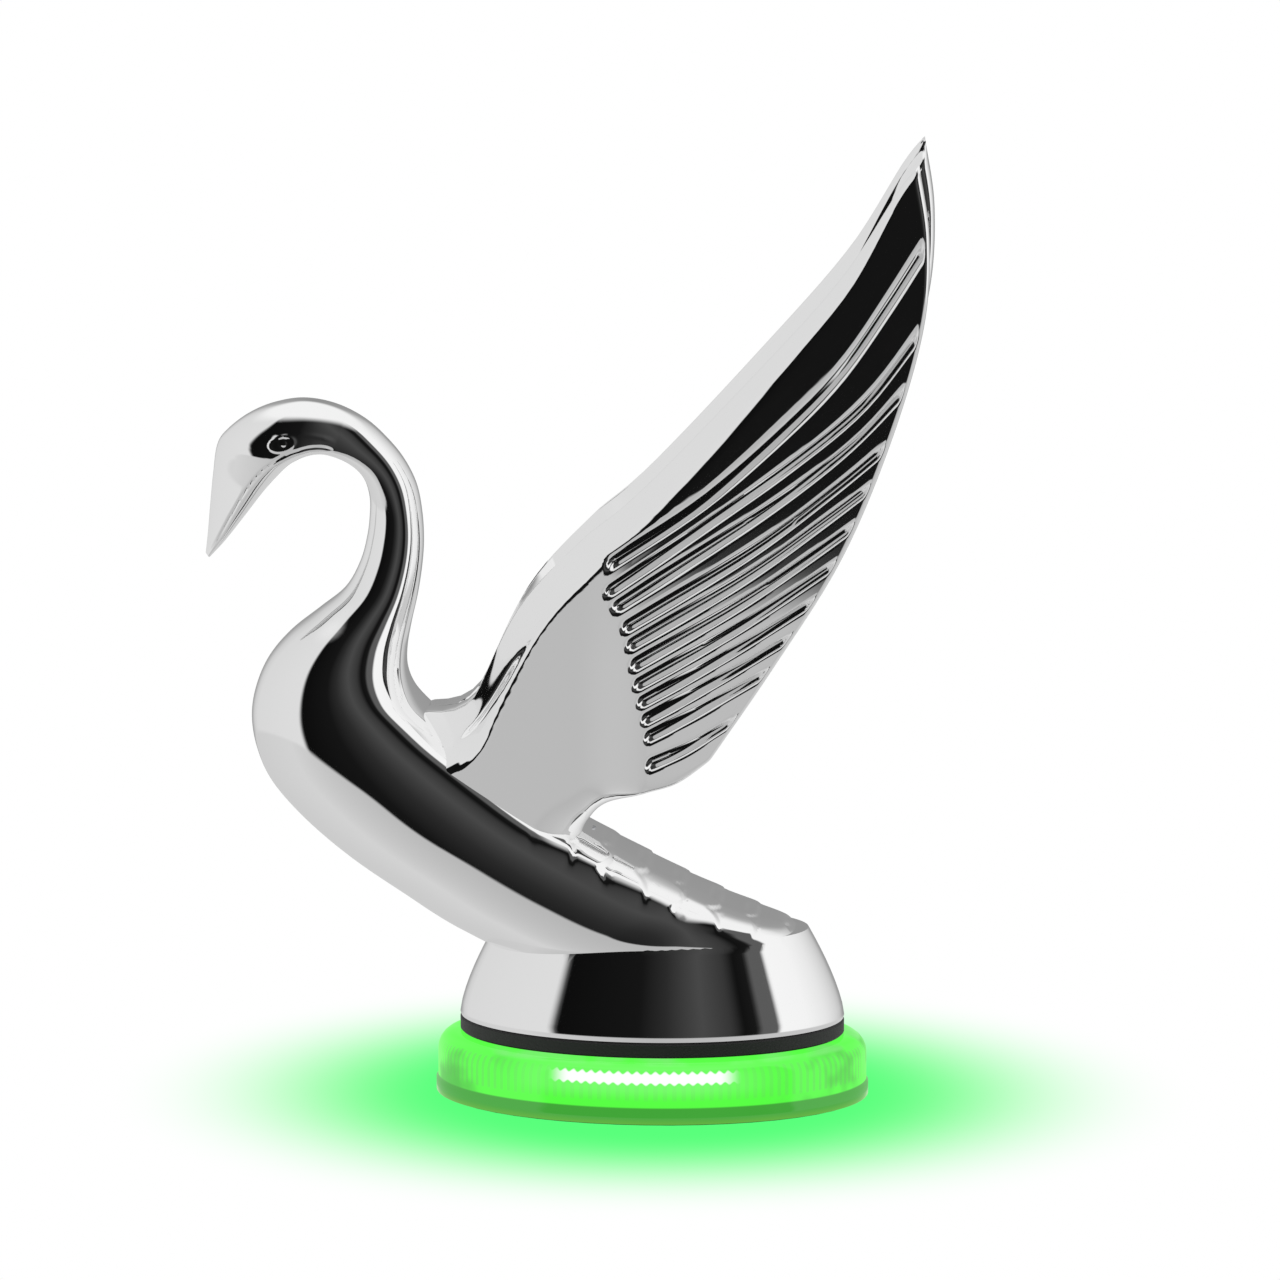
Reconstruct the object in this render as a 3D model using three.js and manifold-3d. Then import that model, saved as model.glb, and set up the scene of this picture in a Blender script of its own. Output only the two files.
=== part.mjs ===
// A chrome swan hood ornament on an oval lighted base. Millimetres, +Z up, the bird faces -X.
// The origin is the middle of the pad's underside, where the ornament stands on the hood.
import * as THREE from 'three';
import { mergeVertices } from 'three/addons/utils/BufferGeometryUtils.js';
import Module from 'manifold-3d';

// ---------- driving dimensions ----------
const GAP = 0.3;                 // clearance between pieces that touch

const BASE_LENGTH = 66.8;        // the lens, end to end
const BASE_WIDTH = 41.4;         // the lens, side to side
const LENS_HEIGHT = 8.8;
const LENS_WALL = 2.0;
const LENS_EDGE_RADIUS = 3.0;
const FLANGE_HEIGHT = 1.4;
const FLANGE_STEP = 0.3;

const PAD_THICKNESS = 0.8;
const PAD_INSET = 0.4;
const PLATE_THICKNESS = 2.4;
const BOARD_THICKNESS = 1.4;
const BOARD_INSET = 1.4;         // board edge to the lens's inner wall
const GASKET_THICKNESS = 1.8;
const GASKET_WIDTH = 2.4;

const PEDESTAL_END_SETBACK = 3.5;  // from the lens's side to the pedestal's foot, at the ends
const PEDESTAL_SIDE_SETBACK = 2.6; // and at the sides
const PEDESTAL_HEIGHT = 14.4;
const PEDESTAL_TAPER = 5.6;      // how far the ends come in from foot to top
const PEDESTAL_HOLLOWNESS = 1.4; // 1 is a straight cone, more curves the flank
const PEDESTAL_WALL = 2.5;
const PEDESTAL_HOLLOW = 8.7;     // height of the hollow above the foot

const BIRD_LENGTH = 110.0;       // beak to wing tip
const BIRD_HEIGHT = 121.0;       // pedestal top to wing tip
const BODY_WALL = 3.5;
const HOLLOW_WIDTH = 10.0;
const SADDLE_THICKNESS = 2.6;
const WING_THICKNESS = 3.4;      // at the root
const WING_TIP_THICKNESS = 2.2;
const WING_BULGE = 6.0;          // how far the shoulder stands out at the root
const WING_CAMBER = 1.2;

const STUD_SPACING = 41.0;       // the two threaded inserts, on the centre line
const STUD_BORE = 6.6;           // tapping size of an 8 mm stud
const INSERT_DIAMETER = 9.5;
const INSERT_LENGTH = 9.0;
const POST_WALL = 1.2;

const BASE_SCREW_X = 8.5;
const BASE_SCREW_Y = 9.5;
const BASE_SCREW_DIAMETER = 2.6;
const BASE_SCREW_HEAD = 5.2;
const BASE_SCREW_HEAD_HEIGHT = 1.1;
const BASE_SCREW_BITE = 11.0;    // length inside its post
const SCREW_POST_DIAMETER = 5.5;

const WING_SCREW_DIAMETER = 3.0;
const WING_SCREW_REACH = -0.4;   // its tip, above the bird's back
const WING_SCREW_HEAD = 6.0;
const WING_SCREW_HEAD_HEIGHT = 2.0;
const WASHER_DIAMETER = 7.0;
const WASHER_THICKNESS = 0.8;
const WASHER_CLEARANCE = 0.55;   // from the washer to the front stud's post
const SCREW_PAD_RIM = 1.0;       // metal round the washer
const WING_PEG_X = -24.0;
const WING_PEG_DIAMETER = 6.4;
const WING_PEG_DEPTH = 4.5;
const WING_PEG_ROOT = 1.5;       // how far a peg runs up into the saddle
const SCREW_PAD_DEPTH = 4.0;     // metal under the rear peg

const LED_COUNT = 20;
const LED_WIDTH = 2.8;
const LED_DEPTH = 2.0;
const LED_HEIGHT = 1.6;
const LED_INSET = 1.8;           // middle of an LED to the board's edge
const RESISTOR_COUNT = 5;
const RESISTOR_SIZE = [2.0, 1.25, 0.6];
const RESISTOR_PITCH = 4.0;
const RESISTOR_Y = -4.0;
const DIODE_SIZE = [4.3, 2.6, 2.1];
const DIODE_Y = 4.4;
const TERMINAL_SIZE = [2.4, 2.4, 3.0];
const TERMINAL_X = 7.0;
const GROMMET_Y = 13.0;
const GROMMET_DIAMETER = 6.0;
const GROMMET_BORE = 3.0;

const OVAL_SIDES = 48;
const ROUND_SIDES = 20;
const BODY_SIDES = 16;
const PEDESTAL_STEPS = 4;
const EDGE_STEPS = 3;            // round the lens's top edge
const CHORD_STEPS = 8;
const SPAN_STEPS = 16;

// ---------- heights, from the hood up ----------
const LENS_FOOT = PAD_THICKNESS + GAP;
const LENS_TOP = LENS_FOOT + LENS_HEIGHT;
const PLATE_TOP = LENS_FOOT + PLATE_THICKNESS;
const BOARD_FOOT = PLATE_TOP + 2 * GAP;
const BOARD_TOP = BOARD_FOOT + BOARD_THICKNESS;
const GASKET_FOOT = LENS_TOP + GAP;
const PEDESTAL_FOOT = GASKET_FOOT + GASKET_THICKNESS + GAP;
const PEDESTAL_TOP = PEDESTAL_FOOT + PEDESTAL_HEIGHT;
const HOLLOW_TOP = PEDESTAL_FOOT + PEDESTAL_HOLLOW;
const POST_FOOT = PLATE_TOP + GAP;
const INSERT_TOP = POST_FOOT + INSERT_LENGTH;
const SCREW_POST_FOOT = BOARD_TOP + GAP;

// ---------- places along the base ----------
const PEDESTAL_LENGTH = BASE_LENGTH - 2 * PEDESTAL_END_SETBACK;
const PEDESTAL_WIDTH = BASE_WIDTH - 2 * PEDESTAL_SIDE_SETBACK;
const POST_DIAMETER = INSERT_DIAMETER + 2 * (GAP + POST_WALL);
const FRONT_POST_BACK = -STUD_SPACING / 2 + POST_DIAMETER / 2;
const WING_SCREW_X = FRONT_POST_BACK + WASHER_CLEARANCE + WASHER_DIAMETER / 2;

// ---------- the bird's outline ----------
// Points are millimetres along from the base's middle and up from the pedestal's top, drawn for
// a bird of the sizes below and stretched to BIRD_LENGTH and BIRD_HEIGHT.
const DRAWN_LENGTH = 110.0;
const DRAWN_HEIGHT = 121.0;
const LENGTH_SCALE = BIRD_LENGTH / DRAWN_LENGTH;
const HEIGHT_SCALE = BIRD_HEIGHT / DRAWN_HEIGHT;

// Each section: outer edge (x, z), inner edge (x, z), half width. From the beak's tip over the
// crown, down the neck and the breast, and back along the body to the tail.
const SECTIONS = [
  [[-69.0, 57.9], [-68.4, 57.2], 0.5],
  [[-68.6, 61.3], [-66.0, 59.8], 1.6],
  [[-68.2, 65.5], [-63.0, 63.6], 2.6],
  [[-67.7, 70.2], [-60.0, 67.5], 3.6],
  [[-67.0, 74.8], [-57.5, 70.3], 4.6],
  [[-65.4, 77.2], [-55.9, 71.8], 5.1],
  [[-62.0, 79.8], [-54.4, 72.7], 5.4],
  [[-58.0, 81.5], [-53.0, 73.3], 5.5],
  [[-53.4, 82.2], [-51.5, 73.6], 5.3],
  [[-48.5, 81.3], [-49.8, 73.5], 5.0],
  [[-44.0, 79.0], [-47.6, 72.7], 4.7],
  [[-40.5, 75.8], [-45.6, 71.4], 4.4],
  [[-38.0, 72.6], [-44.2, 69.6], 4.2],
  [[-36.2, 68.8], [-43.5, 67.0], 4.2],
  [[-35.4, 64.4], [-43.5, 64.3], 4.2],
  [[-35.2, 60.2], [-43.9, 61.0], 4.3],
  [[-35.5, 56.2], [-45.0, 57.0], 4.7],
  [[-36.2, 51.8], [-47.3, 52.9], 5.6],
  [[-37.2, 47.4], [-51.3, 49.6], 7.0],
  [[-37.9, 43.4], [-55.8, 46.0], 8.8],
  [[-37.9, 40.0], [-59.2, 42.0], 10.3],
  [[-36.8, 36.8], [-61.2, 37.6], 11.6],
  [[-34.5, 33.9], [-62.0, 33.0], 12.6],
  [[-31.0, 30.7], [-61.3, 28.0], 13.2],
  [[-26.5, 27.2], [-59.0, 22.7], 13.6],
  [[-21.5, 23.4], [-54.0, 16.9], 13.8],
  [[-16.0, 19.4], [-47.0, 10.9], 13.9],
  [[-9.6, 15.4], [-39.0, 5.4], 13.8],
  [[-2.0, 11.2], [-30.0, -0.3], 13.6],
  [[5.0, 7.5], [-18.0, -5.5], 13.3],
  [[11.0, 4.6], [-4.0, -6.6], 12.9],
  [[16.0, 2.6], [8.0, -6.6], 11.2],
  [[20.5, 1.0], [17.0, -6.6], 8.4],
  [[23.2, -0.6], [21.5, -6.6], 4.8],
];

// Leading and trailing edges of the near wing: x, distance from the middle, z.
const LEADING_EDGE = [
  [-33.5, 3.2, 30.5], [-28.5, 3.4, 36.5], [-25.0, 4.6, 42.5], [-23.0, 5.5, 48.0],
  [-19.5, 8.5, 53.5], [-13.2, 13.0, 60.0], [-0.9, 15.0, 70.5], [15.0, 17.0, 87.4],
  [29.2, 19.7, 103.6], [37.5, 20.4, 116.8], [40.8, 20.3, 121.0],
];
const TRAILING_EDGE = [
  [-11.0, 3.2, 15.0], [-8.6, 5.2, 20.4], [0.6, 10.0, 23.6], [9.6, 13.5, 29.2],
  [20.0, 15.9, 43.8], [28.7, 17.3, 58.0], [35.0, 18.5, 72.0], [40.8, 19.8, 90.5],
  [42.4, 20.3, 106.0], [42.0, 20.3, 119.0],
];
// Side view of the wings' saddle on the bird's back. It ends just behind the rear peg.
const SADDLE_LAP = 0.4;          // how far the rear peg reaches past the saddle's end
const SADDLE_SLANT = 2.4;        // how far the saddle's end leans back on its way up
const SADDLE_END = (WING_SCREW_X + WING_PEG_DIAMETER / 2 - SADDLE_LAP) / LENGTH_SCALE;
const SADDLE_OUTLINE = [
  [-36.8, 31.0], [-34.0, 24.0], [-26.0, 19.0], [-16.0, 15.0], [SADDLE_END, 11.0],
  [SADDLE_END + SADDLE_SLANT, 22.0], [-18.0, 46.0], [-32.0, 44.0],
];

const alongX = (x) => x * LENGTH_SCALE;
const upZ = (z) => PEDESTAL_TOP + z * HEIGHT_SCALE;
const edgePoint = ([x, y, z]) => new THREE.Vector3(alongX(x), y, upZ(z));

// ---------- solids ----------
const wasm = await Module();
wasm.setup();

function toSolid(geometry) {
  const bare = geometry.clone();
  bare.deleteAttribute('normal');
  bare.deleteAttribute('uv');
  const merged = mergeVertices(bare, 1e-4);
  return new wasm.Manifold(new wasm.Mesh({
    numProp: 3,
    vertProperties: new Float32Array(merged.attributes.position.array),
    triVerts: new Uint32Array(merged.index.array),
  }));
}

function toGeometry(solid) {
  const { vertProperties, triVerts } = solid.getMesh();
  const geometry = new THREE.BufferGeometry();
  geometry.setAttribute('position', new THREE.BufferAttribute(new Float32Array(vertProperties), 3));
  geometry.setIndex(new THREE.BufferAttribute(new Uint32Array(triVerts), 1));
  geometry.computeVertexNormals();
  return geometry;
}

function cut(blank, ...tools) {
  return tools.reduce((rest, tool) => rest.subtract(tool), blank);
}

function join(...pieces) {
  return pieces.reduce((whole, piece) => whole.add(piece));
}

// An upright round bar from one height to another.
function bar(diameter, bottom, top, x = 0, y = 0) {
  const geometry = new THREE.CylinderGeometry(diameter / 2, diameter / 2, top - bottom, ROUND_SIDES);
  geometry.rotateX(Math.PI / 2);
  geometry.translate(x, y, (bottom + top) / 2);
  return toSolid(geometry);
}

function block([sizeX, sizeY, sizeZ], x, y, bottom, turn = 0) {
  const geometry = new THREE.BoxGeometry(sizeX, sizeY, sizeZ);
  geometry.rotateZ(turn);
  geometry.translate(x, y, bottom + sizeZ / 2);
  return toSolid(geometry);
}

// Turns a profile of (half length, height) round an oval. The oval's half width is the half
// length less a fixed difference, so walls keep their thickness all the way round.
function oval(profile, difference) {
  const points = profile.map(([reach, height]) => new THREE.Vector2(reach, height));
  const geometry = new THREE.LatheGeometry(points, OVAL_SIDES);
  geometry.rotateX(Math.PI / 2);
  const position = geometry.attributes.position;
  for (let i = 0; i < position.count; i += 1) {
    const reach = Math.hypot(position.getX(i), position.getY(i));
    const width = reach > difference ? (reach - difference) / reach : 0;
    position.setY(i, position.getY(i) * width);
  }
  return toSolid(geometry);
}

const BASE_DIFFERENCE = (BASE_LENGTH - BASE_WIDTH) / 2;
const PEDESTAL_DIFFERENCE = (PEDESTAL_LENGTH - PEDESTAL_WIDTH) / 2;

// A flat oval plate: the profile runs from the axis out, up and back to the axis.
function ovalPlate(halfLength, bottom, top, difference) {
  return oval([[0, bottom], [halfLength, bottom], [halfLength, top], [0, top]], difference);
}

// Four places, one in each quarter.
const QUARTERS = [[-1, -1], [1, -1], [-1, 1], [1, 1]];
const STUD_PLACES = [-STUD_SPACING / 2, STUD_SPACING / 2];

// ---------- the bird's body ----------
// The sections joined into one skin, each grown outwards by the given amount.
function birdSkin(grow) {
  const last = SECTIONS.length - 1;
  const geometry = new THREE.CylinderGeometry(1, 1, 1, BODY_SIDES, last);
  const position = geometry.attributes.position;
  for (let i = 0; i < position.count; i += 1) {
    const row = Math.round((0.5 - position.getY(i)) * last);
    const [outer, inner, halfWidth] = SECTIONS[row];
    const across = new THREE.Vector2(alongX(outer[0] - inner[0]), HEIGHT_SCALE * (outer[1] - inner[1]));
    const reach = across.length() / 2 + grow;
    across.normalize();
    const middleX = alongX((outer[0] + inner[0]) / 2);
    const middleZ = upZ((outer[1] + inner[1]) / 2);
    const outward = position.getX(i) * Math.max(reach, GAP);
    const sideways = position.getZ(i) * Math.max(halfWidth + grow, GAP);
    position.setXYZ(i, middleX + across.x * outward, sideways, middleZ + across.y * outward);
  }
  return facingOut(geometry);
}

// A solid whose faces point out: moving a geometry's points can turn it inside out.
function facingOut(geometry) {
  const solid = toSolid(geometry);
  if (solid.volume() > 0) return solid;
  const index = geometry.index.array;
  for (let i = 0; i < index.length; i += 3) {
    [index[i], index[i + 1]] = [index[i + 1], index[i]];
  }
  return toSolid(geometry);
}

// Height of the bird's back at a place along it, from the foot of the neck to the tail.
const FIRST_BACK_SECTION = 22;

function backHeight(x) {
  const back = SECTIONS.slice(FIRST_BACK_SECTION).map(([outer]) => outer);
  const next = back.findIndex((point) => alongX(point[0]) > x);
  const [[x0, z0], [x1, z1]] = [back[next - 1], back[next]];
  const share = (x - alongX(x0)) / (alongX(x1) - alongX(x0));
  return upZ(z0 + share * (z1 - z0));
}

function pedestalBlank() {
  const foot = PEDESTAL_LENGTH / 2;
  const profile = [[0, PEDESTAL_FOOT]];
  for (let step = 0; step <= PEDESTAL_STEPS; step += 1) {
    const rise = step / PEDESTAL_STEPS;
    const inset = PEDESTAL_TAPER * rise ** PEDESTAL_HOLLOWNESS;
    profile.push([foot - inset, PEDESTAL_FOOT + PEDESTAL_HEIGHT * rise]);
  }
  profile.push([0, PEDESTAL_TOP]);
  return oval(profile, PEDESTAL_DIFFERENCE);
}

function pedestalHollow() {
  const reach = PEDESTAL_LENGTH / 2 - PEDESTAL_WALL;
  const taper = PEDESTAL_TAPER * (PEDESTAL_HOLLOW / PEDESTAL_HEIGHT);
  const foot = PEDESTAL_FOOT - GAP;
  return oval([[0, foot], [reach, foot], [reach - taper, HOLLOW_TOP], [0, HOLLOW_TOP]],
    PEDESTAL_DIFFERENCE);
}

const WING_SCREW_BACK = backHeight(WING_SCREW_X);
const PEG_FOOT = WING_SCREW_BACK - WING_PEG_DEPTH;
const SCREW_PAD_FOOT = PEG_FOOT - GAP - SCREW_PAD_DEPTH;
const WASHER_TOP = SCREW_PAD_FOOT - GAP;
const WING_SCREW_TIP = WING_SCREW_BACK + WING_SCREW_REACH;
const FRONT_PEG_BACK = backHeight(WING_PEG_X);
const FRONT_PEG_FOOT = FRONT_PEG_BACK - WING_PEG_DEPTH;

// The core runs up into the bird from the pedestal, behind the front post, and forward into
// the breast.
const CORE_END = WING_SCREW_X + WASHER_DIAMETER / 2 + 2 * GAP;
const BREAST_CORE_START = alongX(-44);
const BREAST_CORE_TOP = upZ(30) + PEDESTAL_TOP - HOLLOW_TOP;
const PAST = 9;                  // how far a cutting tool runs past the face it opens

// A block of the core between two places along the bird and two heights.
function coreBlock(start, bottom, top) {
  return block([CORE_END - start, HOLLOW_WIDTH, top - bottom], (start + CORE_END) / 2, 0, bottom);
}

function swanBody() {
  const core = coreBlock(FRONT_POST_BACK, PEDESTAL_FOOT + GAP, WING_SCREW_BACK + GAP);
  const breastCore = coreBlock(BREAST_CORE_START, PEDESTAL_TOP, BREAST_CORE_TOP);
  const hollow = join(core, breastCore).intersect(birdSkin(-BODY_WALL));
  let body = cut(join(pedestalBlank(), birdSkin(0)), pedestalHollow(), core, hollow);
  const padDiameter = WASHER_DIAMETER + 2 * SCREW_PAD_RIM;
  const screwPad = bar(padDiameter, SCREW_PAD_FOOT, WING_SCREW_BACK + PAST, WING_SCREW_X);
  body = body.add(screwPad.intersect(birdSkin(-GAP)));
  const pegHole = WING_PEG_DIAMETER + 2 * GAP;
  body = cut(
    body,
    bar(pegHole, PEG_FOOT - GAP, WING_SCREW_BACK + PAST, WING_SCREW_X),
    bar(WING_SCREW_DIAMETER + 2 * GAP, SCREW_PAD_FOOT - 1, WING_SCREW_BACK, WING_SCREW_X),
    bar(pegHole, FRONT_PEG_FOOT - GAP, FRONT_PEG_BACK + PAST, WING_PEG_X),
  );
  for (const x of STUD_PLACES) {
    body = body.add(bar(POST_DIAMETER, POST_FOOT, HOLLOW_TOP + 1, x));
    body = cut(body, bar(INSERT_DIAMETER + 2 * GAP, POST_FOOT - 1, INSERT_TOP + GAP, x));
  }
  for (const [sideX, sideY] of QUARTERS) {
    const [x, y] = [sideX * BASE_SCREW_X, sideY * BASE_SCREW_Y];
    const top = SCREW_POST_FOOT + BASE_SCREW_BITE + GAP;
    body = body.add(bar(SCREW_POST_DIAMETER, SCREW_POST_FOOT, HOLLOW_TOP + 1, x, y));
    body = cut(body, bar(BASE_SCREW_DIAMETER + 2 * GAP, SCREW_POST_FOOT - 1, top, x, y));
  }
  return body;
}

// ---------- the wings ----------
// One wing as a bent plate between its leading and trailing edges. side is -1 for the near wing.
function wingBlade(side) {
  const leading = new THREE.CatmullRomCurve3(LEADING_EDGE.map(edgePoint));
  const trailing = new THREE.CatmullRomCurve3(TRAILING_EDGE.map(edgePoint));
  const geometry = new THREE.BoxGeometry(1, 1, 1, CHORD_STEPS, 1, SPAN_STEPS);
  const position = geometry.attributes.position;
  for (let i = 0; i < position.count; i += 1) {
    const across = position.getX(i) + 0.5;
    const along = position.getZ(i) + 0.5;
    const place = leading.getPointAt(along).lerp(trailing.getPointAt(along), across);
    const bulge = Math.sin(Math.PI * across) * (WING_BULGE * (1 - along) ** 3 + WING_CAMBER);
    const thickness = THREE.MathUtils.lerp(WING_THICKNESS, WING_TIP_THICKNESS, along);
    const offset = place.y + bulge * (1 - along) + position.getY(i) * side * thickness;
    position.setXYZ(i, place.x, side * offset, place.z);
  }
  return facingOut(geometry);
}

function sideProfile(points, halfWidth) {
  const shape = new THREE.Shape(points.map(([x, z]) => new THREE.Vector2(alongX(x), upZ(z))));
  const geometry = new THREE.ExtrudeGeometry(shape, { depth: 2 * halfWidth, bevelEnabled: false });
  geometry.rotateX(Math.PI / 2);
  geometry.translate(0, halfWidth, 0);
  return toSolid(geometry);
}

function wingPair() {
  const saddle = birdSkin(SADDLE_THICKNESS).intersect(sideProfile(SADDLE_OUTLINE, BASE_WIDTH / 2));
  const wings = cut(join(saddle, wingBlade(-1), wingBlade(1)), birdSkin(GAP));
  const pegs = join(
    bar(WING_PEG_DIAMETER, PEG_FOOT, WING_SCREW_BACK + WING_PEG_ROOT, WING_SCREW_X),
    bar(WING_PEG_DIAMETER, FRONT_PEG_FOOT, FRONT_PEG_BACK + WING_PEG_ROOT, WING_PEG_X),
  );
  const pilot = bar(WING_SCREW_DIAMETER + 2 * GAP, PEG_FOOT - 1, WING_SCREW_TIP + GAP, WING_SCREW_X);
  return cut(join(wings, pegs), pilot);
}

// ---------- fastenings ----------
function capScrew(headDiameter, headFoot, headHeight, shankDiameter, tip, x, y = 0) {
  const head = bar(headDiameter, headFoot, headFoot + headHeight, x, y);
  return head.add(bar(shankDiameter, headFoot, tip, x, y));
}

function wingScrew() {
  const headFoot = WASHER_TOP - WASHER_THICKNESS - GAP - WING_SCREW_HEAD_HEIGHT;
  return capScrew(WING_SCREW_HEAD, headFoot, WING_SCREW_HEAD_HEIGHT, WING_SCREW_DIAMETER,
    WING_SCREW_TIP, WING_SCREW_X);
}

function wingWasher() {
  const ring = bar(WASHER_DIAMETER, WASHER_TOP - WASHER_THICKNESS, WASHER_TOP, WING_SCREW_X);
  const hole = bar(WING_SCREW_DIAMETER + 2 * GAP, WASHER_TOP - 2, WASHER_TOP + 1, WING_SCREW_X);
  return cut(ring, hole);
}

function threadedInsert(x) {
  const sleeve = bar(INSERT_DIAMETER, POST_FOOT, INSERT_TOP, x);
  return cut(sleeve, bar(STUD_BORE, POST_FOOT - 1, INSERT_TOP + 1, x));
}

function baseScrew([sideX, sideY]) {
  return capScrew(BASE_SCREW_HEAD, LENS_FOOT, BASE_SCREW_HEAD_HEIGHT, BASE_SCREW_DIAMETER,
    SCREW_POST_FOOT + BASE_SCREW_BITE, sideX * BASE_SCREW_X, sideY * BASE_SCREW_Y);
}

// ---------- the lighted base ----------
const LENS_REACH = BASE_LENGTH / 2;
const LENS_BORE = LENS_REACH - LENS_WALL;
const LENS_OPENING = PEDESTAL_LENGTH / 2 - GASKET_WIDTH;
const PLATE_REACH = LENS_BORE - GAP;
const BOARD_REACH = LENS_BORE - BOARD_INSET;

function lens() {
  const flangeTop = LENS_FOOT + FLANGE_HEIGHT;
  const ceiling = LENS_TOP - LENS_WALL;
  const profile = [
    [LENS_BORE, LENS_FOOT],
    [LENS_REACH + FLANGE_STEP, LENS_FOOT],
    [LENS_REACH + FLANGE_STEP, flangeTop],
    [LENS_REACH, flangeTop + FLANGE_STEP],
  ];
  for (let step = 0; step <= EDGE_STEPS; step += 1) {
    const turn = (Math.PI / 2) * (step / EDGE_STEPS);
    profile.push([
      LENS_REACH - LENS_EDGE_RADIUS * (1 - Math.cos(turn)),
      LENS_TOP - LENS_EDGE_RADIUS * (1 - Math.sin(turn)),
    ]);
  }
  profile.push([LENS_OPENING, LENS_TOP], [LENS_OPENING, ceiling], [LENS_BORE - 1, ceiling]);
  profile.push([LENS_BORE, ceiling - 1], [LENS_BORE, LENS_FOOT]);
  return oval(profile, BASE_DIFFERENCE);
}

function gasket() {
  const reach = PEDESTAL_LENGTH / 2;
  const profile = [
    [reach - GASKET_WIDTH, GASKET_FOOT],
    [reach, GASKET_FOOT],
    [reach, GASKET_FOOT + GASKET_THICKNESS],
    [reach - GASKET_WIDTH, GASKET_FOOT + GASKET_THICKNESS],
    [reach - GASKET_WIDTH, GASKET_FOOT],
  ];
  return oval(profile, PEDESTAL_DIFFERENCE);
}

function studHoles(bottom, top, diameter) {
  return STUD_PLACES.map((x) => bar(diameter, bottom - 1, top + 1, x));
}

function screwHoles(bottom, top, diameter) {
  return QUARTERS.map(([sideX, sideY]) => (
    bar(diameter, bottom, top, sideX * BASE_SCREW_X, sideY * BASE_SCREW_Y)
  ));
}

function grommetHole(bottom, top) {
  return bar(GROMMET_DIAMETER + 2 * GAP, bottom - 1, top + 1, 0, GROMMET_Y);
}

function basePad() {
  const blank = ovalPlate(LENS_REACH - PAD_INSET, 0, PAD_THICKNESS, BASE_DIFFERENCE);
  return cut(blank, ...studHoles(0, PAD_THICKNESS, INSERT_DIAMETER), grommetHole(0, PAD_THICKNESS));
}

function basePlate() {
  const blank = ovalPlate(PLATE_REACH, LENS_FOOT, PLATE_TOP, BASE_DIFFERENCE);
  const recess = LENS_FOOT + BASE_SCREW_HEAD_HEIGHT + GAP;
  return cut(
    blank,
    ...studHoles(LENS_FOOT, PLATE_TOP, INSERT_DIAMETER),
    ...screwHoles(LENS_FOOT - 1, PLATE_TOP + 1, BASE_SCREW_DIAMETER + 2 * GAP),
    ...screwHoles(LENS_FOOT - 1, recess, BASE_SCREW_HEAD + 2 * GAP),
    grommetHole(LENS_FOOT, PLATE_TOP),
  );
}

function ledBoard() {
  const blank = ovalPlate(BOARD_REACH, BOARD_FOOT, BOARD_TOP, BASE_DIFFERENCE);
  return cut(
    blank,
    ...studHoles(BOARD_FOOT, BOARD_TOP, POST_DIAMETER + 2 * GAP),
    ...screwHoles(BOARD_FOOT - 1, BOARD_TOP + 1, BASE_SCREW_DIAMETER + 2 * GAP),
    bar(GROMMET_BORE, BOARD_FOOT - 1, BOARD_TOP + 1, 0, GROMMET_Y),
  );
}

function wireGrommet() {
  const neck = bar(GROMMET_DIAMETER, GAP, PLATE_TOP, 0, GROMMET_Y);
  return cut(neck, bar(GROMMET_BORE, -1, PLATE_TOP + 1, 0, GROMMET_Y));
}

// A box on the board's top at an angle round its edge.
function led(index) {
  const angle = (2 * Math.PI * (index + 0.5)) / LED_COUNT;
  const reach = BOARD_REACH - LED_INSET;
  const [halfLength, halfWidth] = [reach, reach - BASE_DIFFERENCE];
  const [x, y] = [halfLength * Math.cos(angle), halfWidth * Math.sin(angle)];
  const outward = Math.atan2(y / halfWidth ** 2, x / halfLength ** 2);
  return block([LED_DEPTH, LED_WIDTH, LED_HEIGHT], x, y, BOARD_TOP + GAP, outward);
}

function resistor(index) {
  const x = RESISTOR_PITCH * (index - (RESISTOR_COUNT - 1) / 2);
  return block(RESISTOR_SIZE, x, RESISTOR_Y, BOARD_TOP + GAP);
}

// ---------- finishes ----------
function finish(color, roughness, metalness) {
  return new THREE.MeshStandardMaterial({ color, roughness, metalness });
}

const CHROME = finish(0xd9dcdf, 0.04, 1);
const STEEL = finish(0x9a9ca0, 0.35, 1);
const BRASS = finish(0xc9a45a, 0.3, 1);
const RUBBER = finish(0x0c0c0c, 0.8, 0);
const GREEN_CLEAR = finish(0x4bff3a, 0.08, 0);
const BOARD_WHITE = finish(0xe8efe6, 0.5, 0);
const BLACK_PLASTIC = finish(0x17181a, 0.5, 0);
const LED_GREEN = finish(0xb8ff8c, 0.3, 0);
const CERAMIC = finish(0x2b2b2d, 0.5, 0);

const group = new THREE.Group();
group.name = 'hood_ornament';

function addPart(name, solid, material) {
  const mesh = new THREE.Mesh(toGeometry(solid), material);
  mesh.name = name;
  group.add(mesh);
}

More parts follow.
